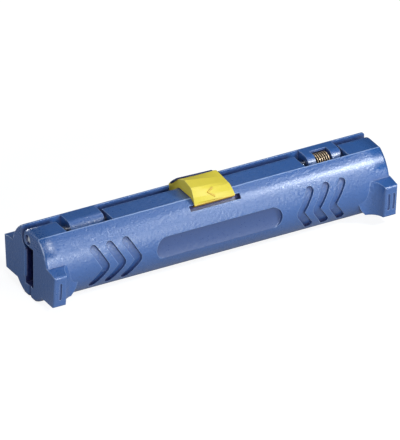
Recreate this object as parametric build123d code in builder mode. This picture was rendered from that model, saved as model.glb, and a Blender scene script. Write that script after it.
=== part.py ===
from build123d import *
import os
from math import asin, cos, sin, sqrt

os.makedirs("parts", exist_ok=True)

# Coaxial cable stripper, in millimetres. X runs along the body, from end B to end A.
# The front shell is on the -Y side, the back shell on the +Y side, and Z = 0 is the underside.
# The two shells meet at the vertical seam plane Y = 0 and swing apart on a pin along X.

# Body section
body_length = 105.0
half_width = 10.15          # seam plane to the widest point of a shell
widest_height = 10.5
top_height = 19.9
shoulder_half = 4.65        # half width of the flat top
foot_half = 2.8             # half width of the flat underside
seam_gap = 0.3
lip_round = 0.9             # rounding of the two lower lips where they meet
end_round = 0.8             # rounding of the outer edge of each end face
wall = 2.4
end_wall = 3.0

# Hinge
pin_y = 0.85
pin_radius = 1.1
knuckle_radius = 2.8
pin_recess = 0.7            # how far the pin stops short of the end faces
pin_fit = 0.02              # radial clearance in the front shell, which holds the pin
pin_running = 0.06          # radial clearance in the back shell, which turns on it
pin_mouth = 0.35            # how much wider the hole is at the end faces
pin_chamfer = 0.25
swing_gap = 0.6             # radial clearance between one shell's knuckles and the other shell
# Each pair gives where a feature begins and ends, measured inwards from its end face
bay_b_span = (8.9, 23.0)    # bays cut in the front shell for the back shell's knuckles
bay_a_span = (9.9, 23.25)
block_b_span = (11.8, 22.1)  # the back shell's knuckles
block_a_span = (10.3, 20.5)
bay_rim = 0.1               # flat that is left between a bay and the shoulder

# Closing spring
window_span = (13.2, 18.1)  # opening in knuckle A that shows the spring
window_back = 2.2           # rear edge of that opening
wire_radius = 0.26
coil_radius = 2.0           # centre line of the wire
coil_turns = 6
coil_pitch = 0.68
leg_reach = 1.1             # how far each leg goes into its shell
leg_clearance = 0.12
spring_gap = 0.3            # clearance of the coil inside knuckle A
leg_joint = 1.1             # size of the bend between coil and leg, in wire radii

# Cable slots in the end faces
slot_half = 2.2
slot_floor = 3.6
slot_roof = 0.6             # what is left between a slot and the pin's hole
lead_in = 0.6               # chamfer on the back edge of each slot
lead_in_half = 4.1          # half height of that chamfer

# Lugs at the four corners
lug_reach = 14.2            # seam plane to the top of the outer face
lug_draft = 0.85            # how much less it is at the bottom
lug_bottom = 3.1
lug_top_outer = 12.6
lug_top_inner = 13.2
lug_width = 3.85            # length of the outer face along X
lug_root_top = 6.1          # length along X where the lug meets the body, from the end face
lug_root_middle = 9.4
lug_root_bottom = 7.4
lug_middle = 6.7            # height of the widest root
lug_round = 0.6
lug_bend_run = 0.3          # where the hollow flare bends: this share of its run along X,
lug_bend_rise = 0.35        # and this share of its rise from the body's skin
lug_overlap = 0.6           # how deep the lug's root lies in the body
mark_depth = 0.3
mark_width = 0.7
mark_height = 5.2
mark_pitch = 1.5

# Grip grooves and label panel on each side
groove_places = (24.4, 19.5, 14.6)  # from the end face to each groove's top
groove_lean = 3.4           # how far each groove's point lies nearer the middle
groove_top_height = 15.0
groove_point_height = 9.2
groove_bottom_height = 4.4
groove_width = 2.3
groove_depth = 0.85
panel_length = 38.4
panel_height = 6.8
panel_centre_height = 10.0
panel_depth = 1.0
panel_dish_radius = 10.5

# Lock slider
slider_start = -6.0
slider_length = 12.4
slider_seat = 0.15          # clearance to the shell it rides on
slider_back = 7.5           # seam plane to the outer face of the rear leg
slider_leg_drop = 1.9       # how far the rear leg reaches below the pin
slider_travel = 1.5         # each way from the middle of the guide slot
slider_lip = 0.35           # thickness of the front lip
slider_shoulder_drop = 0.9  # height of the rounded-off rear corner
# Profiles of its two ends: distance across, and height above the flat top
slider_tall_end = ((-6.35, 0.8), (-4.9, 3.1), (-1.2, 3.8), (2.2, 2.4), (7.0, -1.0))
slider_low_end = ((-5.75, -0.25), (-3.75, 0.75), (-0.5, 1.0), (3.4, 1.3), (7.0, -0.6))
guide_drop = 1.85           # from the flat top down to the middle of the guide slot
guide_width = 1.6
guide_depth = 1.4
tab_thickness = 0.3
tab_depth = 1.0
running_gap = 0.1

# Blade holders, cable rests and what they carry
insert_gap = 0.3            # clearance of each insert to the shell round it
insert_length = 17.0
insert_depth = 4.1
insert_foot = 2.8           # from the cavity's floor up to the inserts
insert_headroom = 0.6       # from the inserts up to the hinge deck
boss_radius = 2.0
screw_places = (2.4, 14.7)  # from the outer end of the insert
screw_radius = 0.95
screw_hole_radius = 1.0
screw_pass_radius = 1.1
screw_head_radius = 1.8
screw_head_clearance = 0.08
screw_sink = 0.1            # how far the heads lie below the face
screw_length = 6.0          # of the holders' screws; the cable rests have shorter ones
screw_rim = 0.15
drive_width = 0.45
drive_depth = 0.4
rest_radius = 3.75          # groove in the cable rests, for cables up to 7.5 mm
rest_depth = 1.2
blade_thickness = 0.5
blade_margin = 0.75         # how far the blades stop short of the holder's top and bottom
blade_back = 5.25           # seam plane to the blades' rear edges
blade_bevel = 0.9
blade_slot_clearance = 0.05
rod_radius = 0.6
rod_clearance = 0.05
rod_depth = 4.1             # seam plane to the rod's axis
rod_wall = 0.4              # what is left between the rod's bore and the screw holes
rod_end_gap = 0.6
# Each blade's distance from the insert's outer end, and how far its edge stays in front of the seam
blades = {
    "a": {"jacket_blade_a": (4.9, 1.0), "braid_blade_a": (8.4, 0.6), "core_blade_a": (11.9, -0.4)},
    "b": {"jacket_blade_b": (5.6, 1.0), "core_blade_b": (11.2, -0.4)},
}

# Values that follow from the sizes above
half_length = body_length / 2
pin_height = top_height - knuckle_radius
deck_height = pin_height - knuckle_radius
pocket_radius = knuckle_radius + swing_gap
slot_top = pin_height - pin_radius - slot_roof
slider_leg_height = pin_height - slider_leg_drop
guide_height = top_height - guide_drop
insert_bottom = wall + insert_foot
insert_top = deck_height - insert_headroom
cable_height = (insert_bottom + insert_top) / 2
blade_height = insert_top - insert_bottom - 2 * blade_margin
rod_height = cable_height + screw_pass_radius + rod_wall + rod_clearance + rod_radius
upper_drop = half_width - shoulder_half
upper_radius = (upper_drop ** 2 + (top_height - widest_height) ** 2) / (2 * upper_drop)
big = 3 * half_width        # reach of cuts that go right through the section


def from_end(end, span):
    """The X limits of a feature given by its distances from an end face."""
    return sorted(end * (half_length - distance) for distance in span)


bay_b = from_end(-1, bay_b_span)
bay_a = from_end(1, bay_a_span)
block_b = from_end(-1, block_b_span)
block_a = from_end(1, block_a_span)
window = from_end(1, window_span)


def surface_y(height):
    """How far the outer surface lies from the seam plane, above the widest point."""
    return half_width - upper_radius + sqrt(upper_radius ** 2 - (height - widest_height) ** 2)


def outline(inset=0.0):
    """The whole section of the closed body, as a sketch with Y across and Z up."""
    with BuildSketch() as section:
        with BuildLine():
            for side in (-1, 1):
                widest = (side * half_width, widest_height)
                TangentArc([widest, (side * shoulder_half, top_height)], tangent=(0, 1))
                TangentArc([widest, (side * foot_half, 0)], tangent=(0, -1))
            Line((-shoulder_half, top_height), (shoulder_half, top_height))
            Line((-foot_half, 0), (foot_half, 0))
        make_face()
        if inset:
            offset(amount=-inset, kind=Kind.INTERSECTION, mode=Mode.REPLACE)
    return section.sketch


def box_between(x_range, y_range, z_range):
    """A box given by its limits along X, Y and Z."""
    with BuildPart() as block:
        with BuildSketch(Plane.XY.offset(z_range[0])):
            with Locations((x_range[0], y_range[0])):
                Rectangle(x_range[1] - x_range[0], y_range[1] - y_range[0], align=(Align.MIN, Align.MIN))
        extrude(amount=z_range[1] - z_range[0])
    return block.part


def rod_along_x(x_range, y, z, radius):
    """A round bar along X."""
    with BuildPart() as rod:
        with BuildSketch(Plane.YZ.offset(x_range[0])):
            with Locations((y, z)):
                Circle(radius)
        extrude(amount=x_range[1] - x_range[0])
    return rod.part


def facing(side, y):
    """A plane across Y at this distance from the seam; its normal points away from the seam."""
    return Plane(origin=(0, side * y, 0), x_dir=(1, 0, 0), z_dir=(0, side, 0))


def height_on(side, height):
    """Local height on a facing plane, which is upside down on the back."""
    return height if side < 0 else -height


def hinge_section():
    """Section of the front shell's knuckles: flat on top, and round behind the pin."""
    with BuildSketch() as knuckle:
        with Locations((pin_y, pin_height)):
            Circle(knuckle_radius)
        with Locations((-seam_gap, deck_height)):
            Rectangle(pin_y + seam_gap, top_height - deck_height, align=(Align.MIN, Align.MIN))
    return knuckle.sketch


def body_half(side):
    """The solid half of the body on one side, with its lower lip and its outer end edges rounded."""
    limits = sorted((side * seam_gap / 2, side * big))
    with BuildPart() as half:
        with BuildSketch(Plane.YZ.offset(-half_length)) as section:
            add(outline())
            with Locations(((limits[0] + limits[1]) / 2, 0)):
                Rectangle(limits[1] - limits[0], 2 * big, mode=Mode.INTERSECT)
            lip = section.vertices().group_by(Axis.Y)[0].sort_by(lambda corner: abs(corner.X))[0]
            fillet(lip, radius=lip_round)
            if side < 0:
                add(hinge_section())
        extrude(amount=body_length)
        ends = half.faces().filter_by(Axis.X).edges()
        fillet(ends.filter_by(lambda edge: abs(edge.center().Y) > lip_round), radius=end_round)
    return half.part


def lug_outline(end, side, height, reach, root):
    """Plan outline of a lug at one height: straight end, outer face and a hollow flare."""
    skin = half_width - lug_overlap
    x_end = end * half_length
    x_face = end * (half_length - lug_width)
    x_root = end * (half_length - root)
    bend = (x_face + (x_root - x_face) * lug_bend_run, side * (skin + (reach - skin) * lug_bend_rise))
    with BuildSketch(Plane.XY.offset(height)) as shape:
        with BuildLine():
            Polyline((x_root, side * skin), (x_root, side * shoulder_half), (x_end, side * shoulder_half),
                     (x_end, side * reach), (x_face, side * reach))
            ThreePointArc((x_face, side * reach), bend, (x_root, side * skin))
        make_face()
    return shape.sketch


def lug(end, side):
    """One lug: a flare lofted between three plan outlines, cut to its side view."""
    lean = lug_draft / (lug_top_outer - lug_bottom)
    levels = ((lug_bottom, lug_root_bottom), (lug_middle, lug_root_middle), (lug_top_inner, lug_root_top))
    with BuildPart() as wedge:
        for height, root in levels:
            add(lug_outline(end, side, height, lug_reach - lean * (lug_top_outer - height), root))
        loft()
        with BuildSketch(Plane.YZ.offset(-half_length)):
            with BuildLine():
                Polyline((side * shoulder_half, 0), (side * big, 0), (side * big, lug_top_outer),
                         (side * lug_reach, lug_top_outer), (side * half_width, lug_top_inner),
                         (side * shoulder_half, lug_top_inner), close=True)
            make_face()
        extrude(amount=body_length, mode=Mode.INTERSECT)
        outer_face = wedge.faces().sort_by(Axis.Y)[0 if side < 0 else -1]
        fillet(outer_face.edges(), radius=lug_round)
    return wedge.part


def end_marks(end, side, count):
    """Plain upright grooves that number the end, to be cut in the lug's outer face."""
    lean = asin(lug_draft / (lug_top_outer - lug_bottom))
    middle = (end * (half_length - lug_width / 2), side * (lug_reach - lug_draft / 2),
              (lug_top_outer + lug_bottom) / 2)
    face = Plane(origin=middle, x_dir=(1, 0, 0), z_dir=(0, side * cos(lean), -sin(lean)))
    with BuildPart() as marks:
        with BuildSketch(face):
            with GridLocations(mark_pitch, 1, count, 1):
                SlotOverall(mark_height, mark_width, rotation=90)
        extrude(amount=mark_depth, both=True)
    return marks.part


def surface_layer(depth):
    """The outer skin of the body, as deep as a groove."""
    with BuildPart() as layer:
        with BuildSketch(Plane.YZ.offset(-half_length)):
            add(outline())
            add(outline(depth), mode=Mode.SUBTRACT)
        extrude(amount=body_length)
    return layer.part


def grip_grooves(side):
    """Three chevron grooves each side of the panel, pointing at it."""
    with BuildPart() as grooves:
        for end in (-1, 1):
            for place in groove_places:
                top = half_length - place
                with BuildSketch(facing(side, shoulder_half)):
                    with BuildLine() as path:
                        FilletPolyline((end * top, height_on(side, groove_top_height)),
                                       (end * (top - groove_lean), height_on(side, groove_point_height)),
                                       (end * top, height_on(side, groove_bottom_height)),
                                       radius=groove_width / 2)
                    trace(path.line, line_width=groove_width)
                    with Locations(path.line @ 0, path.line @ 1):
                        Circle(groove_width / 2)
        extrude(amount=half_width)
        add(surface_layer(groove_depth), mode=Mode.INTERSECT)
    return grooves.part


def label_panel(side):
    """Dished recess with round ends, left plain."""
    with BuildPart() as panel:
        with BuildSketch(facing(side, shoulder_half)):
            with Locations((0, height_on(side, panel_centre_height))):
                SlotOverall(panel_length, panel_height)
        extrude(amount=half_width)
        with BuildSketch(Plane.YZ.offset(-half_length)):
            with Locations((side * (half_width - panel_depth + panel_dish_radius), panel_centre_height)):
                Circle(panel_dish_radius)
        extrude(amount=body_length, mode=Mode.INTERSECT)
    return panel.part


def half_section(side, inset, low, high, nearest):
    """One side of the inset outline, between two heights and beyond a distance from the seam."""
    limits = sorted((side * nearest, side * big))
    with BuildSketch() as section:
        add(outline(inset))
        with Locations((limits[0], low)):
            Rectangle(limits[1] - limits[0], high - low, align=(Align.MIN, Align.MIN),
                      mode=Mode.INTERSECT)
    return section.sketch


def hollow(side):
    """The cavity of one shell, up to the underside of the hinge deck."""
    with BuildPart() as cavity:
        with BuildSketch(Plane.YZ.offset(end_wall - half_length)):
            add(half_section(side, wall, 0, deck_height, 0))
        extrude(amount=body_length - 2 * end_wall)
    return cavity.part


def insert_x(end, place):
    """Where a distance from an insert's outer end lies along X."""
    return end * (half_length - end_wall - insert_gap - place)


def boss_pins(side, radius, length):
    """Round bars behind the inserts, one for each screw."""
    with BuildPart() as bars:
        with BuildSketch(facing(side, slot_half + insert_depth)):
            for end in (-1, 1):
                for place in screw_places:
                    with Locations((insert_x(end, place), height_on(side, cable_height))):
                        Circle(radius)
        extrude(amount=length)
    return bars.part


def slot_x(end):
    """Extent of a cable slot along X, through the end wall."""
    return sorted((end * (half_length + 1), end * (half_length - end_wall)))


boss_length = half_width - wall / 2 - slot_half - insert_depth
screw_hole_length = screw_sink + screw_length + insert_gap - insert_depth


def shell_body(side):
    """What both shells have: the half body, lugs, marks, grip, cavity, bosses and cable slots."""
    with BuildPart() as shell:
        add(body_half(side))
        for end in (-1, 1):
            add(lug(end, side))
        add(end_marks(-1, side, 1), mode=Mode.SUBTRACT)
        add(end_marks(1, side, 2), mode=Mode.SUBTRACT)
        add(grip_grooves(side), mode=Mode.SUBTRACT)
        add(label_panel(side), mode=Mode.SUBTRACT)
        add(hollow(side), mode=Mode.SUBTRACT)
        add(boss_pins(side, boss_radius, boss_length))
        add(boss_pins(side, screw_hole_radius, screw_hole_length), mode=Mode.SUBTRACT)
    return shell.part


# The slot that guides the lock slider lies square to the front shell's surface
guide_angle = asin((guide_height - widest_height) / upper_radius)
guide_plane = Plane(origin=(slider_start + slider_length / 2, -surface_y(guide_height), guide_height),
                    x_dir=(1, 0, 0), z_dir=(0, -cos(guide_angle), sin(guide_angle)))

# Reach of the slider's rear leg from the pin, which the back shell swings clear of
leg_rise = max(slider_leg_drop, top_height + slider_low_end[-1][1] - pin_height)
leg_sweep = sqrt((slider_back - pin_y) ** 2 + leg_rise ** 2)
notch_x = (slider_start - slider_travel - running_gap,
           slider_start + slider_length + slider_travel + running_gap)

# The spring's coil lies in the middle of its window, and its legs leave from the coil's underside
coil_start = (window[0] + window[1] - coil_turns * coil_pitch) / 2
coil_end = coil_start + coil_turns * coil_pitch
leg_height = pin_height - coil_radius
spring_pocket_radius = coil_radius + wire_radius + spring_gap
front_leg_tip = shoulder_half - bay_rim + leg_reach
back_leg_tip = pin_y + spring_pocket_radius + leg_reach

# Front shell, which holds the pin
with BuildPart() as front_shell:
    add(shell_body(-1))
    for bay in (bay_b, bay_a):
        add(box_between(bay, (bay_rim - shoulder_half, big), (deck_height - swing_gap, big)),
            mode=Mode.SUBTRACT)
    for end in (-1, 1):
        add(box_between(slot_x(end), (-slot_half, big), (slot_floor, slot_top)), mode=Mode.SUBTRACT)
        mouth = sorted((end * (half_length + 1), end * (half_length - pin_recess)))
        add(rod_along_x(mouth, pin_y, pin_height, pin_radius + pin_mouth), mode=Mode.SUBTRACT)
    add(rod_along_x((-body_length, body_length), pin_y, pin_height, pin_radius + pin_fit),
        mode=Mode.SUBTRACT)
    with BuildSketch(guide_plane):
        Rectangle(slider_length + 2 * slider_travel, guide_width)
    extrude(amount=guide_depth, both=True, mode=Mode.SUBTRACT)
    with BuildSketch(facing(-1, front_leg_tip - leg_reach)):
        with Locations((coil_start, leg_height)):
            Circle(wire_radius + leg_clearance)
    extrude(amount=leg_reach + leg_clearance, mode=Mode.SUBTRACT)
front_shell.part.label = "front_shell"
export_step(front_shell.part, "parts/front_shell.step")

# Back shell, which turns on the pin
pockets = ((-half_length - 1, block_b[0]), (block_b[1], block_a[0]), (block_a[1], half_length + 1))
with BuildPart() as back_shell:
    add(shell_body(1))
    add(box_between((-body_length, body_length), (-big, pin_y), (deck_height, big)), mode=Mode.SUBTRACT)
    for block in (block_b, block_a):
        add(rod_along_x(block, pin_y, pin_height, knuckle_radius))
    for pocket in pockets:
        add(rod_along_x(pocket, pin_y, pin_height, pocket_radius), mode=Mode.SUBTRACT)
        add(box_between(pocket, (-big, pin_y + pocket_radius), (pin_height, big)), mode=Mode.SUBTRACT)
    add(rod_along_x(notch_x, pin_y, pin_height, leg_sweep + seam_gap), mode=Mode.SUBTRACT)
    for end in (-1, 1):
        add(box_between(slot_x(end), (-big, slot_half), (slot_floor, slot_top)), mode=Mode.SUBTRACT)
        with BuildSketch(Plane.XY.offset(cable_height - lead_in_half)):
            with BuildLine():
                Polyline((end * half_length, slot_half), (end * half_length, slot_half + lead_in),
                         (end * (half_length - lead_in), slot_half), close=True)
            make_face()
        extrude(amount=2 * lead_in_half, mode=Mode.SUBTRACT)
    add(rod_along_x(window, pin_y, pin_height, spring_pocket_radius), mode=Mode.SUBTRACT)
    add(box_between(window, (-big, window_back), (deck_height - wall, big)), mode=Mode.SUBTRACT)
    with BuildSketch(facing(1, window_back)):
        with Locations((coil_end, height_on(1, leg_height))):
            Circle(wire_radius + leg_clearance)
    extrude(amount=back_leg_tip + leg_clearance - window_back, mode=Mode.SUBTRACT)
    add(rod_along_x((-body_length, body_length), pin_y, pin_height, pin_radius + pin_running),
        mode=Mode.SUBTRACT)
back_shell.part.label = "back_shell"
export_step(back_shell.part, "parts/back_shell.step")

# Hinge pin
with BuildPart() as hinge_pin:
    add(rod_along_x((pin_recess - half_length, half_length - pin_recess), pin_y, pin_height, pin_radius))
    chamfer(hinge_pin.edges().filter_by(GeomType.CIRCLE), length=pin_chamfer)
hinge_pin.part.label = "hinge_pin"
export_step(hinge_pin.part, "parts/hinge_pin.step")

# Torsion spring, wound about its own Z axis and then laid round the pin, with a leg into each shell
with BuildPart() as wound_wire:
    with BuildLine() as coil:
        Helix(pitch=coil_pitch, height=coil_turns * coil_pitch, radius=coil_radius)
    with BuildSketch(Plane(origin=coil.line @ 0, z_dir=coil.line % 0)):
        Circle(wire_radius)
    sweep(path=coil.line, is_frenet=True)
    with BuildSketch(Plane.XZ):
        with Locations((coil_radius, 0)):
            Circle(wire_radius)
    extrude(amount=front_leg_tip + pin_y)
    with BuildSketch(Plane.XZ):
        with Locations((coil_radius, coil_turns * coil_pitch)):
            Circle(wire_radius)
    extrude(amount=pin_y - back_leg_tip)
    with Locations((coil_radius, 0, 0), (coil_radius, 0, coil_turns * coil_pitch)):
        Sphere(leg_joint * wire_radius)
coil_plane = Plane(origin=(coil_start, pin_y, pin_height), x_dir=(0, 0, -1), z_dir=(1, 0, 0))
with BuildPart() as torsion_spring:
    with Locations(coil_plane.location):
        add(wound_wire.part)
torsion_spring.part.label = "torsion_spring"
export_step(torsion_spring.part, "parts/torsion_spring.step")


def slider_profile(crown):
    """Section of the slider at one end: the lip, the crown, the rear leg, and back inside the body."""
    tab_middle = guide_width / 2 - running_gap - tab_thickness / 2
    lip_foot = guide_plane.origin + guide_plane.y_dir * tab_middle
    lip_face = lip_foot + guide_plane.z_dir * slider_lip
    lip_root = lip_foot - guide_plane.z_dir * slider_lip
    points = [(lip_root.Y, lip_root.Z), (lip_face.Y, lip_face.Z)]
    points += [(y, top_height + rise) for y, rise in crown]
    points += [(slider_back, top_height + crown[-1][1] - slider_shoulder_drop),
               (slider_back, slider_leg_height), (pin_y, slider_leg_height)]
    with BuildSketch() as profile:
        with BuildLine():
            Polyline(*points, close=True)
        make_face()
    return profile.sketch


# Lock slider, a saddle over the hinge: a ramp from a tall end to a low end
with BuildPart() as lock_slider:
    with BuildSketch(Plane.YZ.offset(slider_start)):
        add(slider_profile(slider_tall_end))
    with BuildSketch(Plane.YZ.offset(slider_start + slider_length)):
        add(slider_profile(slider_low_end))
    loft(ruled=True)
    with BuildSketch(Plane.YZ.offset(slider_start - slider_travel)):
        add(outline(-slider_seat))
        with Locations((pin_y, 0)):
            Rectangle(big, 2 * big, align=(Align.MIN, Align.CENTER), mode=Mode.SUBTRACT)
        with Locations((pin_y, pin_height)):
            Circle(knuckle_radius + slider_seat)
    extrude(amount=slider_length + 2 * slider_travel, mode=Mode.SUBTRACT)
    with BuildSketch(guide_plane.offset(-tab_depth)):
        with Locations((0, guide_width / 2 - running_gap)):
            Rectangle(slider_length - 2 * running_gap, tab_thickness, align=(Align.CENTER, Align.MAX))
    extrude(amount=tab_depth + slider_lip)
lock_slider.part.label = "lock_slider"
export_step(lock_slider.part, "parts/lock_slider.step")

# Inserts at the two ends, in front of the cable and behind it
holder_face = slot_half + screw_sink
rest_face = slot_half + rest_depth + screw_sink
screw_tip = holder_face + screw_length


def insert_block(side, end):
    """The solid block of one insert, shaped to the inside of its shell."""
    with BuildPart() as block:
        with BuildSketch(Plane.YZ.offset(min(insert_x(end, 0), insert_x(end, insert_length)))):
            add(half_section(side, wall + insert_gap, insert_bottom, insert_top, slot_half))
            with Locations((side * slot_half, 0)):
                Rectangle(2 * insert_depth, 2 * big, mode=Mode.INTERSECT)
        extrude(amount=insert_length)
    return block.part


def screw_form(head_radius, shank_radius, length, headroom):
    """A countersunk form along -Y, with its head plane at Y = 0 and room in front of it."""
    with BuildPart() as turned:
        with BuildSketch(Plane.XY):
            with BuildLine():
                Polyline((0, headroom), (head_radius, headroom), (head_radius, -screw_rim),
                         (shank_radius, shank_radius - head_radius - screw_rim),
                         (shank_radius, -length), (0, -length), close=True)
            make_face()
        revolve(axis=Axis.Y)
    return turned.part


def at_screws(side, end, face):
    """Where an insert's two screws stand, with their heads at this distance from the seam."""
    turn = (0, 0, 0 if side < 0 else 180)
    return [Location((insert_x(end, place), side * face, cable_height), turn) for place in screw_places]


def screw_pair(side, end, face):
    """The two screws that hold one insert, each a solid of its own."""
    with BuildPart() as screw:
        add(screw_form(screw_head_radius, screw_radius, screw_tip - face, 0))
        with BuildSketch(Plane.XZ):
            Rectangle(2 * screw_head_radius, drive_width)
        extrude(amount=drive_depth, mode=Mode.SUBTRACT)
    with BuildPart() as pair:
        with Locations(*at_screws(side, end, face)):
            add(screw.part)
    return pair.part


def screw_holes(side, end, face):
    """The countersunk holes of one insert, open towards the cable."""
    hole = screw_form(screw_head_radius + screw_head_clearance, screw_pass_radius, half_width, half_width)
    with BuildPart() as holes:
        with Locations(*at_screws(side, end, face)):
            add(hole)
    return holes.part


def blade_holder(end, letter):
    """Front insert, with a slot for each blade and a bore for the rod through them."""
    bore = sorted((insert_x(end, rod_end_gap), insert_x(end, insert_length + 1)))
    pocket_half = blade_height / 2 + blade_slot_clearance
    slot_reach = blade_thickness / 2 + blade_slot_clearance
    with BuildPart() as holder:
        add(insert_block(-1, end))
        add(screw_holes(-1, end, holder_face), mode=Mode.SUBTRACT)
        for place, edge in blades[letter].values():
            x = insert_x(end, place)
            add(box_between((x - slot_reach, x + slot_reach), (-blade_back - blade_slot_clearance, 0),
                            (cable_height - pocket_half, cable_height + pocket_half)), mode=Mode.SUBTRACT)
        add(rod_along_x(bore, -rod_depth, rod_height, rod_radius + rod_clearance), mode=Mode.SUBTRACT)
    return holder.part


def blade_rod(end):
    """The rod that pins one end's blades in their holder."""
    reach = sorted((insert_x(end, rod_end_gap + rod_clearance), insert_x(end, insert_length)))
    return rod_along_x(reach, -rod_depth, rod_height, rod_radius)


def blade(end, place, edge):
    """One upright blade, bevelled on both sides to an edge that faces the cable."""
    x = insert_x(end, place)
    half = blade_thickness / 2
    with BuildPart() as plate:
        with BuildSketch(Plane.XY.offset(cable_height - blade_height / 2)):
            with BuildLine():
                Polyline((x - half, -blade_back), (x - half, -edge - blade_bevel), (x, -edge),
                         (x + half, -edge - blade_bevel), (x + half, -blade_back), close=True)
            make_face()
        extrude(amount=blade_height)
        add(rod_along_x((x - 1, x + 1), -rod_depth, rod_height, rod_radius + rod_clearance),
            mode=Mode.SUBTRACT)
    return plate.part


def cable_rest(end):
    """Back insert, with a round groove that the cable lies in."""
    groove_x = sorted((insert_x(end, -1), insert_x(end, insert_length + 1)))
    with BuildPart() as rest:
        add(insert_block(1, end))
        add(rod_along_x(groove_x, slot_half + rest_depth - rest_radius, cable_height, rest_radius),
            mode=Mode.SUBTRACT)
        add(screw_holes(1, end, rest_face), mode=Mode.SUBTRACT)
    return rest.part


inserts = {}
for letter, end in (("a", 1), ("b", -1)):
    inserts["blade_holder_" + letter] = blade_holder(end, letter)
    inserts["holder_screws_" + letter] = screw_pair(-1, end, holder_face)
    inserts["blade_rod_" + letter] = blade_rod(end)
    inserts["cable_rest_" + letter] = cable_rest(end)
    inserts["rest_screws_" + letter] = screw_pair(1, end, rest_face)
    for name, (place, edge) in blades[letter].items():
        inserts[name] = blade(end, place, edge)
for name, piece in inserts.items():
    piece.label = name
    export_step(piece, "parts/" + name + ".step")
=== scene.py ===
from math import cos, radians, sin

import bmesh
import bpy
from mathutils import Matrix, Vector
from mathutils.bvhtree import BVHTree


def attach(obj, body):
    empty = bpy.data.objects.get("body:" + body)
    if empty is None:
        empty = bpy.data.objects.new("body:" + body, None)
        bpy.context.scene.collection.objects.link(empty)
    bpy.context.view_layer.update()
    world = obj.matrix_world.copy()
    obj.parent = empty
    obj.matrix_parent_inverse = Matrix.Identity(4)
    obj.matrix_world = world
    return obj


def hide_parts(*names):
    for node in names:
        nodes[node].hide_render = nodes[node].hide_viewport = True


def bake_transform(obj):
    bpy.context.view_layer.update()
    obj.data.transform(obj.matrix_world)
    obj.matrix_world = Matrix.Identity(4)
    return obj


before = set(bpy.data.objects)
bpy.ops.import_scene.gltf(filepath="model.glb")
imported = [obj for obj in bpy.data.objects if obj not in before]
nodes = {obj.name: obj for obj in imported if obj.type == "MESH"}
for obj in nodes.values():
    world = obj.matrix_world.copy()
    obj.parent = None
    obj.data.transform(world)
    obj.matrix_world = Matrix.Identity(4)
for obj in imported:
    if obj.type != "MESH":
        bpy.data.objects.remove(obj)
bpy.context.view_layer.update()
mm = 0.001
print("stage 1: frame loaded with", len(nodes), "nodes")


class Wire:
    # an output socket; arithmetic on it adds Math nodes to its finish

    def __init__(self, finish, socket):
        self.finish = finish
        self.socket = socket

    def __add__(self, other):
        return self.finish.maths("ADD", self, other)

    def __radd__(self, other):
        return self.finish.maths("ADD", other, self)

    def __sub__(self, other):
        return self.finish.maths("SUBTRACT", self, other)

    def __rsub__(self, other):
        return self.finish.maths("SUBTRACT", other, self)

    def __mul__(self, other):
        return self.finish.maths("MULTIPLY", self, other)

    def __rmul__(self, other):
        return self.finish.maths("MULTIPLY", other, self)

    def __abs__(self):
        return self.finish.maths("ABSOLUTE", self)

    def clamped(self):
        return self.finish.maths("ADD", self, 0.0, clamp=True)

    def rising(self, over):
        # 0 where this is negative, 1 from the given value on
        return (self * (1 / over)).clamped()


class Finish:
    # the nodes of a material, or of the world

    def __init__(self, owner):
        self.owner = owner
        owner.use_nodes = True
        self.tree = owner.node_tree
        self.tree.nodes.clear()

    def add(self, kind, settings=None, inputs=None, output=0):
        # any node: its settings first, then the values or links of its sockets
        node = self.tree.nodes.new("ShaderNode" + kind)
        for name, value in (settings or {}).items():
            if name == "stops":
                self.setStops(node.color_ramp, value)
            else:
                setattr(node, name, value)
        for name, value in (inputs or {}).items():
            if isinstance(value, Wire):
                self.tree.links.new(value.socket, node.inputs[name])
            else:
                node.inputs[name].default_value = value
        return Wire(self, node.outputs[output]) if node.outputs else node

    def setStops(self, ramp, stops):
        while len(ramp.elements) > 1:
            ramp.elements.remove(ramp.elements[-1])
        ramp.elements[0].position = stops[0][0]
        ramp.elements[0].color = grey(stops[0][1])
        for place, value in stops[1:]:
            ramp.elements.new(place).color = grey(value)

    def maths(self, operation, first, second=None, clamp=False):
        values = {0: first} if second is None else {0: first, 1: second}
        return self.add("Math", {"operation": operation, "use_clamp": clamp}, values)

    def vector(self, operation, first, second=None, output=0):
        values = {0: first} if second is None else {0: first, 1: second}
        return self.add("VectorMath", {"operation": operation}, values, output)

    def place(self):
        return self.add("TexCoord", output="Object")

    def axis(self, vector, number):
        return self.add("SeparateXYZ", {}, {0: vector}, number)

    def noise(self, size, detail=2.0, roughness=0.5, stretch=None):
        # noise whose features are about this size, in millimetres
        where = self.place()
        if stretch:
            where = self.vector("MULTIPLY", where, stretch)
        values = {"Vector": where, "Scale": 1 / (size * mm), "Detail": detail, "Roughness": roughness}
        return self.add("TexNoise", {}, values)

    def blend(self, factor, first, second):
        # a mix of two colours
        return self.add("Mix", {"data_type": "RGBA"}, {0: factor, 6: first, 7: second}, output=2)

    def ramp(self, factor, stops):
        return self.add("ValToRGB", {"stops": stops}, {"Fac": factor})

    def hollow(self, reach, samples):
        # 1 deep in a hollow, 0 in the open
        return 1.0 - self.add("AmbientOcclusion", {"samples": samples}, {"Distance": reach * mm}, "AO")

    def rounded(self, radius, samples):
        # the normal, with the edges softened
        return self.add("Bevel", {"samples": samples}, {"Radius": radius * mm})

    def surface(self, colour, roughness, normal, fixed):
        values = {"Base Color": colour, "Roughness": roughness, "Normal": normal}
        values.update(fixed)
        shader = self.add("BsdfPrincipled", {}, values)
        self.add("OutputMaterial", {}, {"Surface": shader})
        return self.owner


def grey(value):
    return (value, value, value, 1.0)


def screenColour(red, green, blue):
    # a colour as a screen shows it, 0 to 255, as the linear value that a shader takes
    linear = []
    for part in (red, green, blue):
        part /= 255
        linear.append(part / 12.92 if part <= 0.04045 else ((part + 0.055) / 1.055) ** 2.4)
    return (*linear, 1.0)


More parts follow.
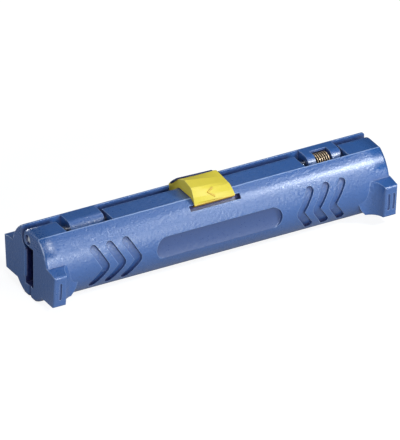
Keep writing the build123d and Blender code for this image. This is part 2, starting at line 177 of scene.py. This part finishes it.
def mouldedPlastic(name, look):
    # satin plastic from a spark-eroded mould: fine grain, with painted shade in the hollows and a
    # painted highlight along the soft edges
    finish = Finish(bpy.data.materials.new(name))
    grain = finish.noise(look["grainSize"], detail=3.0, roughness=0.6)
    cellScale = 1 / (look["grainSize"] * look["cellSize"] * mm)
    cells = finish.add("TexVoronoi", {"feature": "SMOOTH_F1"},
                       {"Vector": finish.place(), "Scale": cellScale})
    drift = finish.noise(look["driftSize"])
    hollow = finish.hollow(look["hollowReach"], samples=8)
    normal = finish.rounded(look["edgeRound"], samples=6)
    flat = finish.add("NewGeometry", {}, {}, "Normal")
    along = finish.vector("DOT_PRODUCT", normal, flat, "Value")
    edge = ((1.0 - along) * look["edgeReach"]).clamped()
    exposed = (1.0 - hollow * look["hollowSpread"]).clamped()

    colour = finish.blend(drift, look["colour"], look["drifted"])
    colour = finish.blend(grain * look["speckle"], colour, look["pale"])
    # painted shade: the hollows are darkened where shade falls in them
    colour = finish.blend((hollow * look["hollowShadeShare"]).clamped(), colour, look["deep"])
    # painted highlight: a pale colour along the edges, where the softened normal turns away from the
    # flat one
    colour = finish.blend(edge * exposed * look["edgeHighlightShare"], colour, look["edgeHighlight"])
    relief = grain * look["grainShare"] + cells * (1 - look["grainShare"])
    roughness = (grain - 0.5) * look["glint"] + look["roughness"] + hollow * look["hollowMatt"]
    if "lipShade" in look:
        # painted shade: a darker strip along the bottom of the catch's front lip
        colour = finish.blend(lipShadeMask(finish, look), colour, look["lipShade"])
    if "panelShade" in look:
        # only the body has these: a painted highlight along the shoulders, painted shade in the slots,
        # painted shade on the smooth panels, and polished ends
        shoulderHighlightMask = inBox(finish, finish.vector("ABSOLUTE", finish.place()), look["shoulder"])
        slots = deepPlaces(finish, look)
        panel = panelMask(finish, look)
        lean = endLean(finish, look)
        # painted highlight: a thin pale line along the shoulder edges
        colour = finish.blend(shoulderHighlightMask * look["shoulderHighlightShare"], colour, look["edgeHighlight"])
        # painted shade: the slots are darkened where shade falls in them
        colour = finish.blend(slots * look["slotShadeShare"], colour, look["deepest"])
        # painted shade: the dished panel is darkened
        colour = finish.blend(panel * look["panelShadeShare"], colour, look["panelShade"])
        relief = relief * (1.0 - panel * look["panelSmooth"])
        relief = relief * (1.0 - lean * look["swellSmooth"]).clamped()
        roughness = roughness - lean * look["swellPolish"]
        normal = swollen(finish, normal, lean)

    bump = finish.add("Bump", {}, {"Strength": look["grainDepth"], "Distance": look["grainHeight"] * mm,
                                   "Height": relief, "Normal": normal})
    roughness = finish.maths("MAXIMUM", roughness, look["glossiest"])
    gloss = {"IOR": look["index"], "Specular IOR Level": look["sheen"],
             "Coat Weight": look["polish"], "Coat Roughness": look["polishRoughness"]}
    return finish.surface(colour, roughness, bump, gloss)


def inBox(finish, place, box):
    # 1 inside a box, in millimetres, and 0 outside it
    offset = finish.vector("SUBTRACT", place, Vector(box["middle"]) * mm)
    inner = finish.vector("SUBTRACT", Vector(box["half"]) * mm, finish.vector("ABSOLUTE", offset))
    inner = finish.vector("MULTIPLY", inner, Vector((1, 1, 1)) / (box["fade"] * mm))
    x, y, z = (finish.axis(inner, number) for number in range(3))
    return finish.maths("MINIMUM", finish.maths("MINIMUM", x, y), z).clamped()


def deepPlaces(finish, look):
    # where shade is painted: the cable slots at both ends, and the slot that the catch's front lip runs
    # in
    ends = inBox(finish, finish.vector("ABSOLUTE", finish.place()), look["cableSlots"])
    offset = finish.vector("SUBTRACT", finish.place(), Vector(look["guideOrigin"]) * mm)
    across = finish.vector("DOT_PRODUCT", offset, look["guideAcross"], "Value")
    out = finish.vector("DOT_PRODUCT", offset, look["guideOut"], "Value")
    turned = finish.add("CombineXYZ", {}, {0: finish.axis(offset, 0), 1: across, 2: out})
    return finish.maths("MAXIMUM", ends, inBox(finish, turned, look["guideSlot"]))


def panelMask(finish, look):
    # the long dished panel with round ends, on both sides, which is painted darker as shade
    along = finish.axis(finish.place(), 0)
    height = finish.axis(finish.place(), 2)
    beyond = finish.maths("MAXIMUM", abs(along) - look["panelStraight"] * mm, 0.0)
    above = height - look["panelHeight"] * mm
    reach = finish.maths("SQRT", beyond * beyond + above * above)
    return (look["panelRadius"] * mm - reach).rising(look["panelFade"] * mm)


def lipShadeMask(finish, look):
    # the lowest strip of the catch's front face, which gets painted shade
    across = finish.axis(finish.place(), 1)
    height = finish.axis(finish.place(), 2)
    low = (look["hemTop"] * mm - height).rising(look["hemFade"] * mm)
    front = (look["hemFront"] * mm - across).rising(look["hemFade"] * mm)
    return low * front * look["lipShadeShare"]


def endLean(finish, look):
    # how far the surface falls away near either end, on the upper part of the body
    along = finish.axis(finish.place(), 0)
    height = finish.axis(finish.place(), 2)
    inside = (abs(along) - look["swellFrom"] * mm) * (look["swellRate"] / mm)
    lean = finish.maths("MINIMUM", inside.clamped(), look["swellMost"])
    low, high = look["swellAbove"]
    return lean * (height - low * mm).rising((high - low) * mm)


def swollen(finish, normal, lean):
    # leans the normal towards the nearer end
    along = finish.axis(finish.place(), 0)
    push = finish.add("CombineXYZ", {}, {0: lean * finish.maths("SIGN", along)})
    return finish.vector("NORMALIZE", finish.vector("ADD", normal, push))


plasticLook = {
    "cellSize": 1.6,         # of the Voronoi cells, as a share of the grain's size
    "grainShare": 0.6,       # of the relief; the rest is cells
    "hollowSpread": 1.6,     # how soon an edge in a hollow stops being pale
    "glossiest": 0.12,
    "index": 1.5,
    "sheen": 0.5,
    "polish": 0.05,
    "polishRoughness": 0.3,
    "roughness": 0.5,
}
shellLook = {
    **plasticLook,
    "colour": screenColour(25, 84, 152),
    "drifted": screenColour(21, 76, 142),
    "pale": screenColour(90, 138, 205),
    "edgeHighlight": screenColour(165, 190, 230),
    "deep": screenColour(20, 24, 90),
    "grainSize": 0.5,
    "driftSize": 9.0,
    "speckle": 0.06,
    "grainDepth": 1.0,
    "grainHeight": 0.2,
    "glint": 0.9,
    "roughness": 0.42,
    "index": 1.6,
    "sheen": 0.9,
    "polish": 0.6,
    "polishRoughness": 0.27,
    "hollowReach": 1.6,
    "hollowShadeShare": 0.95,
    "hollowMatt": 0.5,
    "edgeRound": 0.3,
    "edgeReach": 20.0,
    "edgeHighlightShare": 0.4,
    "swellFrom": 47.6,       # from here on the normals lean towards the ends
    "swellRate": 0.15,       # by this much for each millimetre
    "swellMost": 0.5,
    "swellPolish": 0.3,
    "swellSmooth": 3.0,
    "swellAbove": (15.0, 16.3),
    "panelShade": screenColour(12, 50, 108),
    "panelShadeShare": 0.65,
    "panelSmooth": 0.6,
    "panelStraight": 15.8,   # half the length between the panel's round ends
    "panelHeight": 10.0,
    "panelRadius": 3.4,
    "panelFade": 0.3,
    "shoulder": {"middle": (0.0, 4.68, 19.85), "half": (52.4, 0.2, 0.3), "fade": 0.1},
    "shoulderHighlightShare": 0.45,
    "slotShadeShare": 0.88,
    "deepest": screenColour(20, 18, 90),
    "cableSlots": {"middle": (49.2, 0.0, 9.5), "half": (3.25, 2.4, 6.2), "fade": 0.15},
    "guideOrigin": (0.2, -7.07, 18.05),
    "guideAcross": (0.0, -0.7, -0.714),
    "guideOut": (0.0, -0.714, 0.7),
    "guideSlot": {"middle": (0.0, 0.0, -0.9), "half": (7.8, 0.9, 0.85), "fade": 0.1},
}
catchLook = {
    **plasticLook,
    "colour": screenColour(213, 196, 53),
    "drifted": screenColour(206, 187, 47),
    "pale": screenColour(250, 240, 150),
    "edgeHighlight": screenColour(250, 240, 150),
    "deep": screenColour(196, 140, 20),
    "grainSize": 0.4,
    "driftSize": 4.0,
    "speckle": 0.1,
    "grainDepth": 0.6,
    "grainHeight": 0.1,
    "glint": 0.3,
    "hollowReach": 1.2,
    "hollowShadeShare": 0.6,
    "hollowMatt": 0.3,
    "edgeRound": 0.25,
    "edgeReach": 12.0,
    "edgeHighlightShare": 0.5,
    "lipShade": screenColour(206, 150, 44),
    "hemTop": 18.75,
    "hemFade": 0.12,
    "hemFront": -5.0,
    "lipShadeShare": 0.7,
}
insertLook = {
    **plasticLook,
    "colour": screenColour(44, 45, 50),
    "drifted": screenColour(38, 39, 43),
    "pale": screenColour(90, 92, 98),
    "edgeHighlight": screenColour(90, 92, 98),
    "deep": screenColour(14, 14, 17),
    "grainSize": 0.3,
    "driftSize": 5.0,
    "speckle": 0.12,
    "grainDepth": 0.4,
    "grainHeight": 0.06,
    "glint": 0.2,
    "hollowReach": 1.0,
    "hollowShadeShare": 0.6,
    "hollowMatt": 0.2,
    "edgeRound": 0.15,
    "edgeReach": 6.0,
    "edgeHighlightShare": 0.3,
}

shellBlue = mouldedPlastic("mouldedBlueShell", shellLook)
catchYellow = mouldedPlastic("mouldedYellowCatch", catchLook)
insertBlack = mouldedPlastic("mouldedBlackInsert", insertLook)


def drawnMetal(name, look):
    # metal with fine lines along one direction and faint stains, and painted shade in its hollows
    finish = Finish(bpy.data.materials.new(name))
    lines = finish.noise(look["lineSize"], detail=3.0, roughness=0.7, stretch=look["stretch"])
    stain = finish.noise(look["stainSize"], detail=3.0)
    normal = finish.rounded(look["edgeRound"], samples=4)
    hollow = finish.hollow(look["hollowReach"], samples=6)
    streaks = finish.ramp(lines, look["streaks"])
    # real stains, plus painted shade where the hollows are
    stainAndShade = (hollow * look["hollowShadeAmount"] + (stain - 0.5) * look["stainGrime"]).clamped()
    colour = finish.blend(stainAndShade, finish.blend(streaks, look["dark"], look["bright"]), look["stainAndShade"])
    bump = finish.add("Bump", {}, {"Strength": look["lineDepth"], "Distance": look["lineHeight"] * mm,
                                   "Height": lines, "Normal": normal})
    roughness = (lines - 0.5) * look["lineMatt"] + look["roughness"]
    return finish.surface(colour, roughness, bump, {"Metallic": look["metal"]})


metalLook = {
    "streaks": [(0.35, 0.0), (0.65, 1.0)],    # from dark to bright over the lines' noise
    "stretch": (1.0, 1.0, 1.0),
    "lineHeight": 0.02,
    "lineMatt": 0.2,
    "hollowReach": 0.8,
    "hollowShadeAmount": 0.8,
    "stainGrime": 0.4,
    "metal": 1.0,
}
bladeLook = {
    **metalLook,
    "bright": screenColour(205, 207, 210),
    "dark": screenColour(150, 152, 156),
    "stainAndShade": screenColour(92, 92, 96),
    "lineSize": 0.12,
    "stretch": (1.0, 0.06, 1.0),    # ground lines run across the blade, towards its edge
    "stainSize": 3.0,
    "lineDepth": 0.25,
    "roughness": 0.26,
    "edgeRound": 0.04,
}
pinLook = {
    **metalLook,
    "bright": screenColour(222, 224, 226),
    "dark": screenColour(176, 178, 182),
    "stainAndShade": screenColour(96, 98, 104),
    "lineSize": 0.15,
    "stretch": (0.05, 1.0, 1.0),    # drawn along the pin
    "stainSize": 4.0,
    "lineDepth": 0.2,
    "roughness": 0.24,
    "edgeRound": 0.12,
}
screwLook = {
    **metalLook,
    "bright": screenColour(190, 190, 188),
    "dark": screenColour(150, 150, 150),
    "stainAndShade": screenColour(80, 80, 84),
    "lineSize": 0.2,
    "stainSize": 1.5,
    "lineDepth": 0.15,
    "roughness": 0.34,
    "edgeRound": 0.1,
}

bladeSteel = drawnMetal("groundBladeSteel", bladeLook)
pinSteel = drawnMetal("drawnPinSteel", pinLook)
screwSteel = drawnMetal("zincPlatedScrew", screwLook)

wireLook = {
    "bright": screenColour(230, 208, 176),
    "dark": screenColour(168, 130, 92),
    "stainAndShade": screenColour(44, 28, 18),
    "lit": [(0.3, 1.0), (0.7, 0.35), (0.9, 0.0)],    # from facing outwards to facing the next turn
    "lineSize": 0.12,
    "lineDepth": 0.1,
    "lineHeight": 0.01,
    "stainSize": 0.9,
    "stainShare": 0.8,
    "stainLess": 0.1,
    "stainMatt": 0.2,
    "roughness": 0.36,
    "metal": 0.7,
}


def springWire(name, look):
    # the turns lie across the pin, so what faces along it is in the shade of the next turn
    finish = Finish(bpy.data.materials.new(name))
    facing = finish.axis(finish.add("TexCoord", output="Normal"), 0)
    lit = finish.ramp(abs(facing), look["lit"])
    stain = finish.noise(look["stainSize"], detail=3.0)
    stained = (stain * look["stainShare"] - look["stainLess"]).clamped()
    # painted shade: the sides of each turn, which face the next turn, take the dark colour
    colour = finish.blend(lit, look["stainAndShade"], finish.blend(stained, look["bright"], look["dark"]))
    lines = finish.noise(look["lineSize"])
    bump = finish.add("Bump", {}, {"Strength": look["lineDepth"], "Distance": look["lineHeight"] * mm,
                                   "Height": lines})
    roughness = (stain - 0.5) * look["stainMatt"] + look["roughness"]
    return finish.surface(colour, roughness, bump, {"Metallic": look["metal"]})


finishOf = {
    "front_shell": shellBlue,
    "back_shell": shellBlue,
    "lock_slider": catchYellow,
    "hinge_pin": pinSteel,
    "torsion_spring": springWire("bronzeSpringWire", wireLook),
}
for name, node in nodes.items():
    if "blade_holder" in name or "cable_rest" in name:
        finishOf[name] = insertBlack
    elif "screws" in name:
        finishOf[name] = screwSteel
    elif "rod" in name:
        finishOf[name] = pinSteel
    elif "blade" in name:
        finishOf[name] = bladeSteel
    node.data.materials.clear()
    node.data.materials.append(finishOf[name])
print("stage 2: finishes on all nodes")


def placed(name, data):
    # a new object in the scene
    thing = bpy.data.objects.new(name, data)
    bpy.context.scene.collection.objects.link(thing)
    return thing


def carry(piece, body, finish):
    # a piece takes its finish and moves with a body
    piece.data.materials.append(finish)
    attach(piece, body)


def bendSpring():
    node = nodes["torsion_spring"]
    mesh = node.data.copy()
    mesh.name = "springWire"
    mesh.transform(node.matrix_world)
    piece = placed("springWire", mesh)
    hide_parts("torsion_spring")
    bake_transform(piece)


bendSpring()

# The pin's two ends are domed, as a turned pin's are
pinEndLook = {
    "radius": 1.0,
    "bulge": 0.36,
    "reach": 51.8,           # where the plain pin ends
    "height": 17.1,
    "offset": 0.85,
    "segments": 40,
    "rings": 18,
}
# painted highlight: the ends' near-white colour and low metalness stand in for the bright glint on the
# steel
pinEndGlint = drawnMetal("pinEndPaintedGlint", {
    **metalLook,
    "bright": screenColour(240, 243, 248),
    "dark": screenColour(215, 220, 228),
    "stainAndShade": screenColour(140, 146, 165),
    "lineSize": 0.2,
    "stainSize": 4.0,
    "lineDepth": 0.1,
    "roughness": 0.3,
    "edgeRound": 0.05,
    "metal": 0.3,            # so that it looks bright and a little matt
})


def pinEnd(name, side, look):
    shape = bmesh.new()
    bmesh.ops.create_uvsphere(shape, u_segments=look["segments"], v_segments=look["rings"], radius=1.0)
    everything = shape.verts[:] + shape.edges[:] + shape.faces[:]
    bmesh.ops.bisect_plane(shape, geom=everything, clear_inner=True,
                           plane_co=(0, 0, 0), plane_no=(side, 0, 0))
    for vert in shape.verts:
        vert.co = Vector((side * look["reach"] + vert.co.x * look["bulge"],
                          look["offset"] + vert.co.y * look["radius"],
                          look["height"] + vert.co.z * look["radius"])) * mm
    for face in shape.faces:
        face.smooth = True
    mesh = bpy.data.meshes.new(name)
    shape.to_mesh(mesh)
    shape.free()
    carry(placed(name, mesh), "front_half", pinEndGlint)


pinEnd("pinEndA", 1, pinEndLook)
pinEnd("pinEndB", -1, pinEndLook)


def bead(name, points, radius, body, finish):
    # a round moulded line through these points, in millimetres
    curve = bpy.data.curves.new(name, "CURVE")
    curve.dimensions = "3D"
    curve.bevel_depth = radius * mm
    curve.bevel_resolution = 4
    curve.use_fill_caps = True
    line = curve.splines.new("POLY")
    line.points.add(len(points) - 1)
    for place, point in zip(line.points, points):
        place.co = (*(Vector(point) * mm), 1.0)
    carry(placed(name, curve), body, finish)


# Small raised chevron on the catch's front face, which shows the way it slides
chevronLook = {
    "points": ((0.65, -4.55), (-0.3, -5.05), (-1.3, -5.55), (-0.4, -6.0), (0.55, -6.4)),
    "radius": 0.3,
    "sunk": 0.1,
    "above": 60.0,           # where the rays that find the catch's skin start
}
chevronYellow = mouldedPlastic("mouldedYellowChevron", {
    **catchLook,
    "colour": screenColour(206, 170, 40),
    "drifted": screenColour(198, 160, 36),
})


def chevronOnCatch(look):
    catch = nodes["lock_slider"]
    corners = [catch.matrix_world @ vert.co for vert in catch.data.vertices]
    skin = BVHTree.FromPolygons(corners, [tuple(face.vertices) for face in catch.data.polygons])
    points = []
    for x, y in look["points"]:
        start = Vector((x, y, look["above"])) * mm
        hit, normal = skin.ray_cast(start, Vector((0, 0, -1)))[:2]
        points.append(hit / mm - normal * look["sunk"])
    bead("catchChevron", points, look["radius"], "catch", chevronYellow)


chevronOnCatch(chevronLook)

# Dark strip along the catch's rear edge, which stands in for the shade where the catch's back turns
# away
rearShadeLook = {
    "points": ((-6.4, 5.3, 19.9), (-6.4, 3.9, 21.15), (-6.0, 2.7, 22.15),
               (5.0, 3.6, 21.2), (5.4, 4.7, 20.5)),
    "radius": 0.3,
}
rearShadeNavy = mouldedPlastic("paintedRearShadeStrip", {
    **shellLook,
    "colour": screenColour(20, 34, 78),
    "drifted": screenColour(16, 28, 66),
    "edgeHighlight": screenColour(40, 62, 110),
    "sheen": 0.3,
    "polish": 0.1,
})
bead("catchRearShadeStrip", rearShadeLook["points"], rearShadeLook["radius"], "catch", rearShadeNavy)
print("stage 3: pin ends, chevron and strip")

# The camera looks from the front left and above, through a lens so long that edges stay parallel
cameraLook = {
    "azimuth": -29.22,
    "elevation": 29.24,
    "aim": Vector((0.0, 0.0, 16.7 * mm)),
    "right": -0.42 * mm,       # from the aim point to the middle of the picture
    "up": -6.48 * mm,
    "tall": 117.6 * mm,        # what the picture's height covers
    "lens": 1200.0,
    "sensor": 36.0,
    "nearest": 0.1,
    "farthest": 20.0,
}


def faceFrom(thing, direction):
    # turned to look back along the direction that it stands in
    thing.rotation_mode = "QUATERNION"
    thing.rotation_quaternion = (-direction).to_track_quat("-Z", "Y")


def setCamera(look):
    turn, tilt = radians(look["azimuth"]), radians(look["elevation"])
    back = Vector((sin(turn) * cos(tilt), -cos(turn) * cos(tilt), sin(tilt)))
    right = Vector((cos(turn), sin(turn), 0.0))
    middle = look["aim"] + right * look["right"] + back.cross(right) * look["up"]
    data = bpy.data.cameras.new("camera")
    data.lens = look["lens"]
    data.sensor_width = look["sensor"]
    data.clip_start = look["nearest"]
    data.clip_end = look["farthest"]
    camera = placed("camera", data)
    camera.location = middle + back * (look["tall"] * look["lens"] / look["sensor"])
    faceFrom(camera, back)
    bpy.context.scene.camera = camera


def setLamp(name, look):
    # a softbox, placed by the point it lights and the direction that it stands in from there
    data = bpy.data.lights.new(name, "AREA")
    data.shape = "RECTANGLE"
    data.size, data.size_y = look["size"]
    data.energy = look["watts"]
    data.color = look["colour"]
    lamp = placed(name, data)
    direction = Vector(look["direction"]).normalized()
    lamp.location = Vector(look["lights"]) + direction * look["distance"]
    faceFrom(lamp, direction)


lamps = {
    "keyBox": {
        "lights": (0.05, -0.007, 0.018), "direction": (0.43, -0.57, 0.7), "distance": 0.2,
        "size": (0.04, 0.04), "watts": 0.3, "colour": (0.92, 0.97, 1.0),
    },
    "frontBox": {
        "lights": (0.0, 0.0, 0.01), "direction": (0.0, -0.97, 0.25), "distance": 0.5,
        "size": (0.3, 0.16), "watts": 1.9, "colour": (0.92, 0.97, 1.0),
    },
    "leftBox": {
        "lights": (-0.0525, 0.0, 0.01), "direction": (-1.0, 0.1, 0.2), "distance": 0.12,
        "size": (0.05, 0.05), "watts": 0.04, "colour": (0.92, 0.97, 1.0),
    },
    "leftSpot": {
        "lights": (-0.049, -0.007, 0.018), "direction": (-0.22, -0.52, 0.82), "distance": 0.07,
        "size": (0.032, 0.032), "watts": 0.018, "colour": (0.97, 0.99, 1.0),
    },
    "backBox": {
        "lights": (0.0, 0.0, 0.01), "direction": (-0.25, 1.0, 0.12), "distance": 0.5,
        "size": (0.3, 0.16), "watts": 1.2, "colour": (0.95, 0.98, 1.0),
    },
    "overCatch": {
        "lights": (0.012, 0.0, 0.022), "direction": (0.1, 0.2, 1.0), "distance": 0.06,
        "size": (0.04, 0.02), "watts": 0.014, "colour": (0.95, 0.98, 1.0),
    },
}

floorLook = {
    "colour": screenColour(134, 135, 138),
    "seenGlow": 0.87,        # what the camera sees on top of the lit floor, up to white
    "farGlow": 0.15,         # what is added to that away from the object, where less light falls
    "near": 0.07,
    "far": 0.2,
    "mirroredGlow": 0.35,    # what glossy surfaces show of it, in front of the object
    "mirroredRest": 0.06,    # and everywhere
    "front": 0.02,           # how far in front that is reached
    "below": 0.02 * mm,
    "size": 6.0,
}


def setFloor(look):
    # pale floor that keeps the shadow and looks white to the camera
    bpy.ops.mesh.primitive_plane_add(size=look["size"], location=(0.0, 0.0, -look["below"]))
    floor = bpy.context.object
    floor.name = "floor"
    finish = Finish(bpy.data.materials.new("paleFloor"))
    seen = finish.add("LightPath", {}, {}, "Is Camera Ray")
    mirrored = finish.add("LightPath", {}, {}, "Is Glossy Ray")
    matt = finish.add("BsdfDiffuse", {}, {"Color": look["colour"]})
    reach = finish.vector("LENGTH", finish.place(), output="Value")
    away = (reach - look["near"]).rising(look["far"] - look["near"])
    across = finish.axis(finish.place(), 1)
    ahead = across.rising(-look["front"]) * look["mirroredGlow"]
    toCamera = seen * (look["seenGlow"] + away * look["farGlow"])
    toMirrors = mirrored * (ahead + look["mirroredRest"])
    glow = finish.add("Emission", {}, {"Color": grey(1.0), "Strength": toCamera + toMirrors})
    both = finish.add("AddShader", {}, {0: matt, 1: glow})
    finish.add("OutputMaterial", {}, {"Surface": both})
    floor.data.materials.append(finish.owner)


worldLook = {
    "colour": screenColour(225, 232, 245),
    "level": 0.11,
}


def setWorld(look):
    # dim all round, and white behind the object for the camera
    studio = Finish(bpy.data.worlds.new("studio"))
    seen = studio.add("LightPath", {}, {}, "Is Camera Ray")
    soft = studio.add("Background", {}, {"Color": look["colour"], "Strength": look["level"]})
    white = studio.add("Background", {}, {"Color": grey(1.0), "Strength": 1.0})
    both = studio.add("MixShader", {}, {0: seen, 1: soft, 2: white})
    studio.add("OutputWorld", {}, {"Surface": both})
    bpy.context.scene.world = studio.owner


setCamera(cameraLook)
for name, look in lamps.items():
    setLamp(name, look)
setFloor(floorLook)
setWorld(worldLook)
bpy.context.scene.view_settings.view_transform = "Standard"
print("stage 4: camera, lamps, floor and world")
